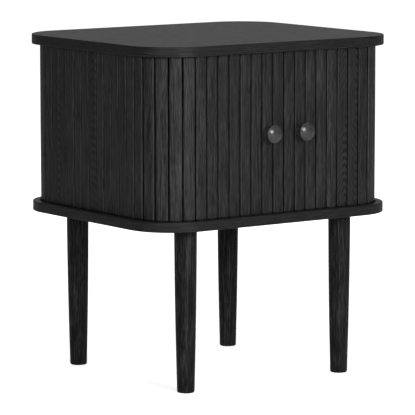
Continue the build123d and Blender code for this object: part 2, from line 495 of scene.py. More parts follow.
@dataclass(frozen=True)
class PlainBeech:
    """Pale beech of the dowels, with short flecks along the grain."""

    name: str
    dark: Triple = (0.42, 0.27, 0.15)
    pale: Triple = (0.62, 0.45, 0.28)
    fleck_scale: Triple = (2500.0, 2500.0, 350.0)
    roughness: float = 0.65
    relief: float = 0.05 * MM

    def build(self) -> Material:
        """Build the finish.

        Returns:
            The material.
        """
        sheet = ShaderSheet(self.name)
        grain = sheet.noise(sheet.place(Grain.UPRIGHT), self.fleck_scale)
        fleck = sheet.spread(grain, 0.35, 0.6, 1.0, 0.0)
        sheet.paint(fleck, self.pale, self.dark)
        sheet.roughen(self.roughness)
        sheet.relief(fleck, self.relief)
        return sheet.material


@dataclass(frozen=True)
class ZincPlate:
    """Zinc-plated steel of the bolts, inserts and screws, dulled in patches."""

    name: str
    dark: Triple = (0.38, 0.38, 0.39)
    pale: Triple = (0.62, 0.62, 0.64)
    patch_per_metre: float = 260.0
    roughness: Pair = (0.42, 0.28)
    relief: float = 0.01 * MM

    def build(self) -> Material:
        """Build the finish.

        Returns:
            The material.
        """
        sheet = ShaderSheet(self.name)
        dulling = sheet.noise(sheet.place(Grain.UPRIGHT), (self.patch_per_metre,) * 3, detail=4.0)
        patch = sheet.spread(dulling, 0.35, 0.65, 0.0, 1.0)
        sheet.paint(patch, self.dark, self.pale)
        sheet.roughen(sheet.spread(patch, 0.0, 1.0, *self.roughness))
        sheet.surface.inputs["Metallic"].default_value = 1.0
        sheet.relief(patch, self.relief)
        return sheet.material


# Surfaces


def quad_corners(grid: np.ndarray) -> np.ndarray:
    """Four corners of each cell of a grid, in order round the cell, along a new third axis."""
    return np.stack([grid[:-1, :-1], grid[:-1, 1:], grid[1:, 1:], grid[1:, :-1]], axis=2)


@dataclass
class Patchwork:
    """Vertices, faces and grain map of a piece while it is being worked out."""

    points: list[np.ndarray] = field(default_factory=list)
    faces: list[list[int]] = field(default_factory=list)
    layers: list[int] = field(default_factory=list)
    maps: list[np.ndarray] = field(default_factory=list)
    count: int = 0

    def add_rings(self, rings: np.ndarray, grain: np.ndarray, layers: np.ndarray) -> np.ndarray:
        """Join closed rings of points with quads, from ring i to i + 1 and point j to j + 1.

        Args:
            rings: Points, shaped (rings, around, 3).
            grain: Grain map of the corners, shaped (rings, around + 1, 2).
            layers: Material index of each band between rings.

        Returns:
            Vertex numbers, shaped (rings, around).
        """
        total, around = rings.shape[:2]
        numbers = self.count + np.arange(total * around).reshape(total, around)
        closed = np.concatenate([numbers, numbers[:, :1]], axis=1)
        self.points.append(rings.reshape(-1, 3))
        self.faces.extend(quad_corners(closed).reshape(-1, 4).tolist())
        self.layers.extend(np.repeat(layers, around).tolist())
        self.maps.append(quad_corners(grain).reshape(-1, 2))
        self.count += total * around
        return numbers

    def add_cap(self, ring: np.ndarray, grain: np.ndarray, layer: Layer) -> None:
        """Close a ring with one flat face.

        Args:
            ring: Vertex numbers in the order that faces outwards.
            grain: Grain map of each corner, shaped (around, 2).
            layer: Material index of the face.
        """
        self.faces.append(ring.tolist())
        self.layers.append(layer.value)
        self.maps.append(grain)

    def add_pole(self, ring: np.ndarray, pole: np.ndarray, pole_first: bool) -> None:
        """Close a ring with a fan of triangles to one point on its axis.

        Args:
            ring: Vertex numbers of the ring.
            pole: The point.
            pole_first: Whether the pole comes before the ring along the surface.
        """
        around = len(ring)
        self.points.append(pole.reshape(1, 3))
        after = np.roll(ring, -1)
        tip = np.full(around, self.count)
        order = (tip, after, ring) if pole_first else (ring, after, tip)
        self.faces.extend(np.stack(order, axis=-1).tolist())
        self.layers.extend([Layer.FACE.value] * around)
        self.maps.append(np.zeros((3 * around, 2)))
        self.count += 1

    def make(self, name: str, finishes: list[Material], values: dict[str, float]) -> Piece:
        """Put the surface into a mesh object at the origin.

        Args:
            name: The piece's name.
            finishes: Materials, in the order of Layer.
            values: Numbers stored on every vertex, by name.

        Returns:
            The finished object.
        """
        points = np.concatenate(self.points)
        mesh = bpy.data.meshes.new(name)
        mesh.from_pydata(points.tolist(), [], self.faces)
        mesh.polygons.foreach_set("use_smooth", np.ones(len(self.faces), dtype=bool))
        mesh.polygons.foreach_set("material_index", np.array(self.layers, dtype=np.int32))
        grain = mesh.uv_layers.new(name=GRAIN_MAP)
        grain.uv.foreach_set("vector", np.concatenate(self.maps).ravel())
        for key, value in values.items():
            stored = mesh.attributes.new(key, "FLOAT", "POINT")
            stored.data.foreach_set("value", np.full(len(points), value, dtype=np.float32))
        mesh.set_sharp_from_angle(angle=SMOOTH_LIMIT)
        for finish in finishes:
            mesh.materials.append(finish)
        mesh.update()
        piece = bpy.data.objects.new(name, mesh)
        bpy.context.scene.collection.objects.link(piece)
        return piece


def way_along(line: np.ndarray) -> np.ndarray:
    """Way from the first point of a line to each of its points."""
    return np.concatenate([[0.0], np.cumsum(np.linalg.norm(np.diff(line, axis=0), axis=1))])


def arc(centre: Pair, radius: float, start: float, end: float, steps: int) -> np.ndarray:
    """Points of a circular arc: centre + radius * (cos a, sin a), a from start to end.

    Args:
        centre: Centre of the arc.
        radius: Radius of the arc.
        start: First angle in degrees.
        end: Last angle in degrees.
        steps: Number of steps between them.

    Returns:
        Points shaped (steps + 1, 2).
    """
    angle = np.radians(np.linspace(start, end, steps + 1))
    return np.array(centre) + radius * np.stack([np.cos(angle), np.sin(angle)], axis=-1)


def arc_through(first: Pair, middle: Pair, last: Pair, steps: int) -> np.ndarray:
    """Points of the arc through three points; the centre is equally far from all three.

    Args:
        first: Start of the arc.
        middle: A point on the way.
        last: End of the arc.
        steps: Number of steps.

    Returns:
        Points shaped (steps + 1, 2), both ends included.
    """
    a, b, c = (np.array(point, dtype=float) for point in (first, middle, last))
    sides = 2.0 * np.stack([b - a, c - a])
    reach = np.array([b @ b - a @ a, c @ c - a @ a])
    centre = np.linalg.solve(sides, reach)
    angles = np.unwrap([math.atan2(*(point - centre)[::-1]) for point in (a, b, c)])
    return arc(tuple(centre), float(np.linalg.norm(a - centre)), *np.degrees(angles[[0, 2]]), steps)


def turned(profile: np.ndarray, segments: int) -> np.ndarray:
    """Surface of revolution: (r cos a, r sin a, h) for each (r, h) of the profile, anticlockwise.

    Args:
        profile: Radius and height of each ring, shaped (rings, 2).
        segments: Points round the axis.

    Returns:
        Rings shaped (rings, segments, 3).
    """
    angle = np.linspace(0.0, math.tau, segments, endpoint=False)
    radius = profile[:, :1]
    height = np.repeat(profile[:, 1:], segments, axis=1)
    return np.stack([radius * np.cos(angle), radius * np.sin(angle), height], axis=-1)


def turned_map(profile: np.ndarray, segments: int) -> np.ndarray:
    """Grain map of a turned surface: U is the way round at the widest ring, V the way along.

    Args:
        profile: Radius and height of each ring.
        segments: Points round the axis.

    Returns:
        Map shaped (rings, segments + 1, 2).
    """
    round_way = np.linspace(0.0, math.tau * profile[:, 0].max(), segments + 1)
    return np.stack(np.meshgrid(round_way, way_along(profile)), axis=-1)


def rounded_rectangle(half: Pair, radius: float, inset: float, steps: int) -> np.ndarray:
    """Closed outline of a rectangle with round corners, moved inwards by inset, anticlockwise.

    Each corner is an arc of radius - inset about the same centre, so all outlines run parallel.

    Args:
        half: Half width and half depth of the full outline.
        radius: Corner radius of the full outline.
        inset: How far inside the full outline.
        steps: Steps in each corner.

    Returns:
        Points shaped (4 * (steps + 1), 2).
    """
    corners = []
    for turn, (side_x, side_y) in enumerate(((1, 1), (-1, 1), (-1, -1), (1, -1))):
        centre = (side_x * (half[0] - radius), side_y * (half[1] - radius))
        corners.append(arc(centre, radius - inset, 90.0 * turn, 90.0 * turn + 90.0, steps))
    return np.concatenate(corners)


# Sub-assemblies


@dataclass
class PlateSet:
    """The top and the bottom plate: veneered board with softened edges and a curtain groove."""

    corner_radius: float = 78.0 * MM
    arris: float = 1.1 * MM
    hold: float = 0.5 * MM
    groove_start: float = 11.2 * MM
    groove_end: float = 22.6 * MM
    groove_depth: float = 6.0 * MM
    middle_inset: float = 40.0 * MM
    corner_steps: int = 28
    arris_steps: int = 4

    def profile(self, low: float, high: float, groove_above: bool) -> np.ndarray:
        """Inset and height from the middle of the upper face round the edge to the middle below.

        Args:
            low: Height of the lower face.
            high: Height of the upper face.
            groove_above: Whether the groove is in the upper face.

        Returns:
            Points (inset, height), shaped (rings, 2).
        """
        a, hold = self.arris, self.hold
        upper = arc((a, high - a), a, 90.0, 180.0, self.arris_steps)
        lower = arc((a, low + a), a, 180.0, 270.0, self.arris_steps)
        sides = [(0.0, high - a - hold), (0.0, low + a + hold)]
        edge = [(a + hold, high), *upper, *sides, *lower, (a + hold, low)]
        face = high if groove_above else low
        floor = high - self.groove_depth if groove_above else low + self.groove_depth
        start, end = self.groove_start, self.groove_end
        groove = [(start, face), (start, floor), (end, floor), (end, face)]
        above = [(self.middle_inset, high)]
        below = [(self.middle_inset, low)]
        if groove_above:
            above += groove[::-1]
        else:
            below = groove + below
        return np.array(above + edge + below)

    def make(self, node: str, name: str, groove_above: bool, board: float,
             finishes: list[Material]) -> Piece:
        """Make one plate: the profile carried round its outline, closed by two flat faces.

        Args:
            node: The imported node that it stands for.
            name: The piece's name.
            groove_above: Whether the groove is in the upper face.
            board: Which board its figure is cut from.
            finishes: Face and edge finish.

        Returns:
            The plate.
        """
        low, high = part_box(node)
        half = ((high.x - low.x) / 2, (high.y - low.y) / 2)
        middle = ((high.x + low.x) / 2, (high.y + low.y) / 2)
        profile = self.profile(low.z, high.z, groove_above)
        outlines = [
            rounded_rectangle(half, self.corner_radius, inset, self.corner_steps)
            for inset in profile[:, 0]
        ]
        rings = np.stack([np.column_stack([line + middle, np.full(len(line), height)])
                          for line, height in zip(outlines, profile[:, 1])])
        way_round = way_along(np.concatenate([outlines[0], outlines[0][:1]]))
        closed = np.concatenate([rings, rings[:, :1]], axis=1)
        up_edge = closed[:, :, 2] + profile[:, :1]
        edge = np.stack(np.broadcast_arrays(up_edge, way_round[None, :]), axis=-1)
        flat = np.stack([closed[:, :, 1], closed[:, :, 0]], axis=-1)
        bands = len(profile) - 1
        is_edge = np.maximum(profile[:-1, 0], profile[1:, 0]) <= self.arris + HAIR
        patch = Patchwork()
        layers = np.where(is_edge, Layer.EDGE.value, Layer.FACE.value)
        numbers = patch.add_rings(rings, flat, layers)
        around = rings.shape[1]
        corners = patch.maps[-1].reshape(bands, around, 4, 2)
        chosen = np.where(is_edge[:, None, None, None], quad_corners(edge), corners)
        patch.maps[-1] = chosen.reshape(-1, 2)
        flip_rings(patch)
        patch.add_cap(numbers[0], flat[0, :-1], Layer.FACE)
        patch.add_cap(numbers[-1][::-1], flat[-1, :-1][::-1], Layer.FACE)
        piece = patch.make(name, finishes, {BOARD: board, TONE: 1.0, FLAME: 0.0})
        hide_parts(node)
        return piece


def flip_rings(patch: Patchwork) -> None:
    """Turn every face made so far the other way round.

    Args:
        patch: The surface whose faces are turned.
    """
    sizes = [len(face) for face in patch.faces]
    flat = np.concatenate(patch.maps)
    starts = np.concatenate([[0], np.cumsum(sizes)])
    runs = zip(starts, starts[1:])
    order = np.concatenate([np.arange(end - 1, start - 1, -1) for start, end in runs])
    patch.maps = [flat[order]]
    patch.faces = [face[::-1] for face in patch.faces]


@dataclass
class CurtainTrack:
    """The line that the curtains' hinges follow: a rounded rectangle inside the plates' outline."""

    inset: float = 16.5 * MM
    corner_radius: float = 61.5 * MM
    pitch: float = 21.3 * MM
    seam_x: float = 9.5 * MM

    def __post_init__(self) -> None:
        """Work out the straight stretches from the top plate's box."""
        low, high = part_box("top_plate")
        self.line_x = high.x - self.inset
        self.line_y = (high.y - low.y) / 2 - self.inset
        self.middle_y = (high.y + low.y) / 2
        self.corner_x = self.line_x - self.corner_radius
        self.corner_y = self.line_y - self.corner_radius

    def point(self, run: float, seam_x: float) -> Pair:
        """Point of the right-hand line, run metres from the seam towards the back.

        Args:
            run: Way along the line.
            seam_x: Where the line starts.

        Returns:
            Place in plan about the plates' middle.
        """
        bend = self.corner_radius * math.pi / 2
        front = self.corner_x - seam_x
        side = 2 * self.corner_y
        if run <= front:
            return seam_x + run, -self.line_y
        run -= front
        if run <= bend:
            turn = run / self.corner_radius
            return (self.corner_x + self.corner_radius * math.sin(turn),
                    -self.corner_y - self.corner_radius * math.cos(turn))
        run -= bend
        if run <= side:
            return self.line_x, run - self.corner_y
        run -= side
        if run <= bend:
            turn = run / self.corner_radius
            return (self.corner_x + self.corner_radius * math.cos(turn),
                    self.corner_y + self.corner_radius * math.sin(turn))
        return self.corner_x - (run - bend), self.line_y

    def places(self, side: int, count: int) -> list[Triple]:
        """Middle and turn of each slat: chords of one pitch along the line, found by halving.

        Args:
            side: 1 for the right-hand curtain, -1 for the left-hand one.
            count: Number of slats.

        Returns:
            Place x, place y and turn in radians for each slat, from the seam.
        """
        seam = side * self.seam_x
        run = 0.0
        points = [self.point(run, seam)]
        for _ in range(count):
            low, high = run + 0.98 * self.pitch, run + 1.03 * self.pitch
            for _ in range(50):
                run = (low + high) / 2
                if math.dist(points[-1], self.point(run, seam)) < self.pitch:
                    low = run
                else:
                    high = run
            points.append(self.point(run, seam))
        places = []
        for (x0, y0), (x1, y1) in zip(points, points[1:]):
            middle = (side * (x0 + x1) / 2, (y0 + y1) / 2 + self.middle_y)
            places.append((*middle, side * math.atan2(y1 - y0, x1 - x0)))
        return places


@dataclass
class Curtain:
    """One roll-front curtain: a row of slats with tongues that run in the plates' grooves."""

    word: str
    side: int
    alone_from: int
    side_run: tuple[int, int]
    seed: int
    first_board: float
    flames: dict[int, float]
    slopes: dict[int, float]
    board_step: float = 0.37
    count: int = 27
    width: float = 19.5 * MM
    outer: float = 4.0 * MM
    inner: float = 1.0 * MM
    bevel: float = 1.5 * MM
    crown: Pair = (5.0 * MM, 0.35 * MM)
    crown_steps: int = 4
    inner_round: float = 0.4 * MM
    end_gap: float = 0.8 * MM
    end_round: float = 0.6 * MM
    small_round: float = 0.25 * MM
    tongue: Pair = (7.0 * MM, 2.0 * MM)
    tone_spread: float = 0.13
    slope_spread: float = 0.012
    flame_tone: float = 0.80

    def section(self, width: float, outer: float, inner: float, bevel: float, small: float,
                crown: Pair) -> np.ndarray:
        """Closed outline of a strip from the middle of its inner face, bevelled on the outer face.

        Next to each bevel the outer face falls away as drop * (1 - t)^2, t from 0 to 1 over the
        reach. The inner corners are rounded.

        Args:
            width: Width of the strip.
            outer: How far its outer face lies in front of the hinge line.
            inner: How far its inner face lies behind it.
            bevel: Leg of the bevels along the outer face.
            small: Radius of the inner corners.
            crown: Reach and drop of the outer face's softened edges.

        Returns:
            Points shaped (around, 2), anticlockwise seen from above.
        """
        half = width / 2
        inner_left = arc((small - half, inner - small), small, 90.0, 180.0, 2)
        inner_right = arc((half - small, inner - small), small, 0.0, 90.0, 2)
        reach, drop = crown
        t = np.linspace(0.0, 1.0, self.crown_steps + 1)
        fall = drop * (1.0 - t) ** 2 - outer
        left = np.column_stack([bevel - half + reach * t, fall])
        left = np.concatenate([[(-half, bevel + drop - outer)], left])
        right = left[::-1] * (-1.0, 1.0)
        return np.concatenate([[(0.0, inner)], inner_left, left, right, inner_right])

    def blade(self) -> np.ndarray:
        """Outline of the slat's blade at its full size."""
        return self.section(self.width, self.outer, self.inner, self.bevel,
                            self.inner_round, self.crown)

    def stations(self, low: float, high: float, bottom: float,
                 top: float) -> tuple[np.ndarray, np.ndarray]:
        """Rings of the slat: tongue, softened end, blade, softened end, tongue.

        Args:
            low: Height of the blade's lower end.
            high: Height of the blade's upper end.
            bottom: Height of the lower tongue's tip.
            top: Height of the upper tongue's tip.

        Returns:
            Outlines shaped (rings, around, 2) and the rings' heights.
        """
        end, small = self.end_round, self.small_round
        blade = self.blade()
        inset = self.section(self.width - 2 * end, self.outer - end, self.inner - end / 2,
                             self.bevel, small, self.crown)
        wide, half = self.tongue[0], self.tongue[1] / 2
        flat = (wide / 4, 0.0)
        tongue = self.section(wide, half, half, small, small, flat)
        tip = self.section(wide - 2 * small, half - small, half - small, small, small / 2, flat)
        outlines = [tip, tongue, tongue, inset, blade, blade]
        lower = [bottom, bottom + small, low, low, low + end, low + 3 * end]
        upper = [high - 3 * end, high - end, high, high, top - small, top]
        return np.stack(outlines + outlines[::-1]), np.array(lower + upper)

    def slat(self, number: int, place: Triple, heights: tuple[float, ...],
             values: dict[str, float], finishes: list[Material]) -> Piece:
        """Make one slat: its rings turned and moved to its place on the track.

        Args:
            number: Number from the seam.
            place: Middle and turn.
            heights: Blade ends and tongue tips.
            values: Board, tone, figure and slope of its wood.
            finishes: Materials in the order of Layer.

        Returns:
            The slat.
        """
        outlines, levels = self.stations(*heights)
        x, y, turn = place
        spin = np.array([[math.cos(turn), math.sin(turn)], [-math.sin(turn), math.cos(turn)]])
        plan = outlines @ spin + (x, y)
        around = plan.shape[1]
        height = np.broadcast_to(levels[:, None, None], (*plan.shape[:2], 1))
        rings = np.concatenate([plan, height], axis=-1)
        blade = self.blade()
        way = way_along(np.concatenate([blade, blade[:1]]))
        way -= way[-1] / 2
        grain = np.stack(np.meshgrid(way, levels), axis=-1)
        patch = Patchwork()
        bands = len(levels) - 1
        numbers = patch.add_rings(rings, grain, np.zeros(bands, dtype=int))
        # Flank faces take the painted-shade finish and bevel faces the painted-highlight finish.
        layers = np.full((bands, around), Layer.FACE.value)
        layers[:, [1, 2, 3, -4, -3, -2]] = Layer.FLANK.value
        layers[:, [4, -5]] = Layer.BEVEL.value
        layers[4:-4, [0, -1]] = Layer.EDGE.value
        patch.layers = layers.ravel().tolist()
        patch.add_cap(numbers[0][::-1], outlines[0][::-1], Layer.FACE)
        patch.add_cap(numbers[-1], outlines[-1], Layer.FACE)
        return patch.make(f"slat_{self.word}_{number:02d}_oak", finishes, values)

    def make(self, track: CurtainTrack, finishes: list[Material]) -> list[Piece]:
        """Make every slat and put it on its body.

        Args:
            track: Where the slats stand.
            finishes: Materials in the order of Layer.

        Returns:
            The slats from the seam.
        """
        node_low, node_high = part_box(f"slat_{self.word}_01")
        floor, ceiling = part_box("bottom_plate")[1].z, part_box("top_plate")[0].z
        heights = (floor + self.end_gap, ceiling - self.end_gap, node_low.z, node_high.z)
        draw = np.random.default_rng(self.seed)
        tones = 1.0 + self.tone_spread * np.clip(draw.normal(size=self.count), -1.6, 1.6)
        slopes = self.slope_spread * draw.normal(size=self.count)
        first, last = self.side_run
        slats = []
        for number, place in enumerate(track.places(self.side, self.count), start=1):
            values = {
                BOARD: self.board_step * number + self.first_board,
                TONE: self.flame_tone if number in self.flames else float(tones[number - 1]),
                FLAME: 1.0 if number in self.flames else 0.0,
                BOW: self.flames.get(number, 0.0),
                SLOPE: self.slopes.get(number, float(slopes[number - 1])),
            }
            piece = self.slat(number, place, heights, values, finishes)
            if first <= number <= last:
                node, body = f"slats_{self.word}_side", f"{self.word}_curtain_side"
            else:
                node = f"slat_{self.word}_{number:02d}"
                body = f"{self.word}_slat_{number:02d}"
                if number < self.alone_from:
                    body = f"{self.word}_curtain_front"
            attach(piece, body)
            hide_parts(node)
            slats.append(piece)
        log.info("%s curtain: %d slats", self.word, len(slats))
        return slats


@dataclass
class Knob:
    """A turned knob: foot, hollow waist, round rim and a shallow dome."""

    foot_radius: float = 8.8 * MM
    foot: float = 1.2 * MM
    neck: Pair = (6.6 * MM, 7.0 * MM)
    head_back: Pair = (10.9 * MM, 13.6 * MM)
    rim_middle: Pair = (13.5 * MM, 15.9 * MM)
    rim: Pair = (14.5 * MM, 17.9 * MM)
    shoulder_middle: Pair = (14.2 * MM, 18.9 * MM)
    shoulder: Pair = (13.4 * MM, 19.5 * MM)
    bore_radius: float = 2.05 * MM
    bore_depth: float = 12.0 * MM
    foot_round: float = 0.3 * MM
    dome_steps: int = 12
    segments: int = 72

    def profile(self, reach: float) -> np.ndarray:
        """Radius and distance from the slat, from the bottom of the bore to the edge of the crown.

        Args:
            reach: How far the knob stands off the slat.

        Returns:
            Points (radius, distance), shaped (rings, 2).
        """
        radius, start = self.shoulder
        crown = reach - start
        sphere = (crown**2 + radius**2) / (2 * crown)
        turn = np.linspace(math.asin(radius / sphere), 0.0, self.dome_steps + 1)[1:-1]
        dome = np.stack([sphere * np.sin(turn), reach - sphere * (1 - np.cos(turn))], axis=-1)
        ease = self.foot_round
        return np.concatenate([
            [(self.bore_radius, self.bore_depth), (self.bore_radius, 0.0)],
            [(self.foot_radius - ease, 0.0), (self.foot_radius, ease)],
            arc_through((self.foot_radius, self.foot), self.neck, self.head_back, 22),
            arc_through(self.head_back, self.rim_middle, self.rim, 10)[1:],
            arc_through(self.rim, self.shoulder_middle, self.shoulder, 6)[1:],
            dome,
        ])

    def make(self, word: str, finishes: list[Material]) -> Piece:
        """Make one knob about its axis, which points to -Y.

        Args:
            word: Which curtain it is on.
            finishes: Lacquer of the head, and of the foot and waist, darker there as painted shade.

        Returns:
            The knob.
        """
        node = f"knob_{word}"
        low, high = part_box(node)
        profile = self.profile(high.y - low.y)
        rings = turned(profile, self.segments)
        middle = np.array([(low.x + high.x) / 2, high.y, (low.z + high.z) / 2])
        place = np.stack([rings[..., 0], -rings[..., 2], rings[..., 1]], axis=-1) + middle
        patch = Patchwork()
        # The foot and waist take the second finish, darkened as painted shade under the head.
        is_neck = profile[1:, 1] <= self.head_back[1]
        is_neck[0] = True
        layers = np.where(is_neck, Layer.EDGE.value, Layer.FACE.value)
        numbers = patch.add_rings(place, turned_map(profile, self.segments), layers)
        patch.add_pole(numbers[0], middle + (0.0, -self.bore_depth, 0.0), pole_first=True)
        patch.add_pole(numbers[-1], middle + (0.0, low.y - high.y, 0.0), pole_first=False)
        piece = patch.make(f"knob_{word}_lacquered", finishes, {})
        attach(piece, f"{word}_curtain_front")
        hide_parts(node)
        log.info("knob %s: %d rings", word, len(profile))
        return piece


@dataclass
class TurnedLeg:
    """A turned leg: fullest at the top, with a gentle swell and a taper to a rounded foot."""

    middle_radius: float = 16.9 * MM
    middle_height: float = 145.0 * MM
    foot_radius: float = 13.9 * MM
    foot_round: float = 2.5 * MM
    bore_radius: float = 4.05 * MM
    bore_depth: float = 40.0 * MM
    swell_steps: int = 26
    toe_steps: int = 6
    segments: int = 56

    def profile(self, top_radius: float, height: float) -> np.ndarray:
        """Radius and height from the bottom of the bolt's bore, over the top and down to the sole.

        Args:
            top_radius: Radius at the top.
            height: Height of the leg.

        Returns:
            Points (radius, height), shaped (rings, 2).
        """
        foot = (self.foot_radius, self.foot_round)
        middle = (self.middle_radius, self.middle_height)
        swell = arc_through((top_radius, height), middle, foot, self.swell_steps)
        toe_centre = (self.foot_radius - self.foot_round, self.foot_round)
        toe = arc(toe_centre, self.foot_round, 0.0, -90.0, self.toe_steps)
        bore = [(self.bore_radius, height - self.bore_depth), (self.bore_radius, height)]
        return np.concatenate([bore, swell, toe[1:]])

    def make(self, corner: str, finish: Material) -> Piece:
        """Make one leg.

        Args:
            corner: Which corner it stands under.
            finish: Its wood.

        Returns:
            The leg.
        """
        node = f"leg_{corner}"
        low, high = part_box(node)
        profile = self.profile((high.x - low.x) / 2, high.z)
        middle = np.array([(low.x + high.x) / 2, (low.y + high.y) / 2, 0.0])
        rings = turned(profile, self.segments) + middle
        patch = Patchwork()
        layers = np.full(len(profile) - 1, Layer.FACE.value)
        numbers = patch.add_rings(rings, turned_map(profile, self.segments), layers)
        flip_rings(patch)
        patch.add_pole(numbers[0], middle + (0.0, 0.0, high.z - self.bore_depth), pole_first=False)
        patch.add_pole(numbers[-1], middle, pole_first=True)
        piece = patch.make(f"leg_{corner}_oak", [finish], {})
        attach(piece, "cabinet")
        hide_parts(node)
        log.info("leg %s", corner)
        return piece


@dataclass
class InnerCase:
    """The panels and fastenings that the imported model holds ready, dressed where they stand."""

    panels: tuple[str, ...] = ("side_panel_left", "side_panel_right", "back_panel")
    dowels: tuple[str, ...] = ("panel_dowels",)
    bolts: tuple[str, ...] = ("leg_hanger_bolts", "leg_inserts")
    screws: tuple[str, ...] = ("knob_screw_left", "knob_screw_right")

    def dress(self, panel: Material, dowel: Material, steel: Material) -> None:
        """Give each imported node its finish.

        Args:
            panel: Finish of the panels.
            dowel: Finish of the dowels.
            steel: Finish of the bolts, inserts and screws.
        """
        fastenings = self.bolts + self.screws
        for nodes, finish in ((self.panels, panel), (self.dowels, dowel), (fastenings, steel)):
            for node in nodes:
                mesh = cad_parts[node].data
                mesh.materials.clear()
                mesh.materials.append(finish)
                log.info("%s: %s", node, finish.name)


# Studio


def direction(azimuth: float, elevation: float) -> Vector:
    """Unit vector towards an azimuth, from the front to the right, and an elevation, in degrees."""
    a, e = math.radians(azimuth), math.radians(elevation)
    return Vector((math.sin(a) * math.cos(e), -math.cos(a) * math.cos(e), math.sin(e)))


@dataclass(frozen=True)
class SoftLamp:
    """A square lamp that looks at the table's middle.

    Its level is the brightness of a white card at the table that faces it.
    """

    name: str
    azimuth: float
    elevation: float
    distance: float
    size: float
    level: float
    is_mirrored: bool = True

    def hang(self) -> Piece:
        """Hang the lamp.

        Returns:
            The lamp.
        """
        data = bpy.data.lights.new(self.name, "AREA")
        data.shape = "SQUARE"
        data.size = self.size
        data.energy = self.level * (math.pi * self.distance) ** 2
        piece = bpy.data.objects.new(self.name, data)
        bpy.context.scene.collection.objects.link(piece)
        middle = Vector(((CAD_BOX[0][0] + CAD_BOX[1][0]) / 2, 0.0, CAD_BOX[1][2] / 2))
        away = direction(self.azimuth, self.elevation)
        turn = away.to_track_quat("Z", "Y").to_matrix().to_4x4()
        piece.matrix_world = Matrix.Translation(middle + self.distance * away) @ turn
        piece.visible_glossy = self.is_mirrored
        return piece


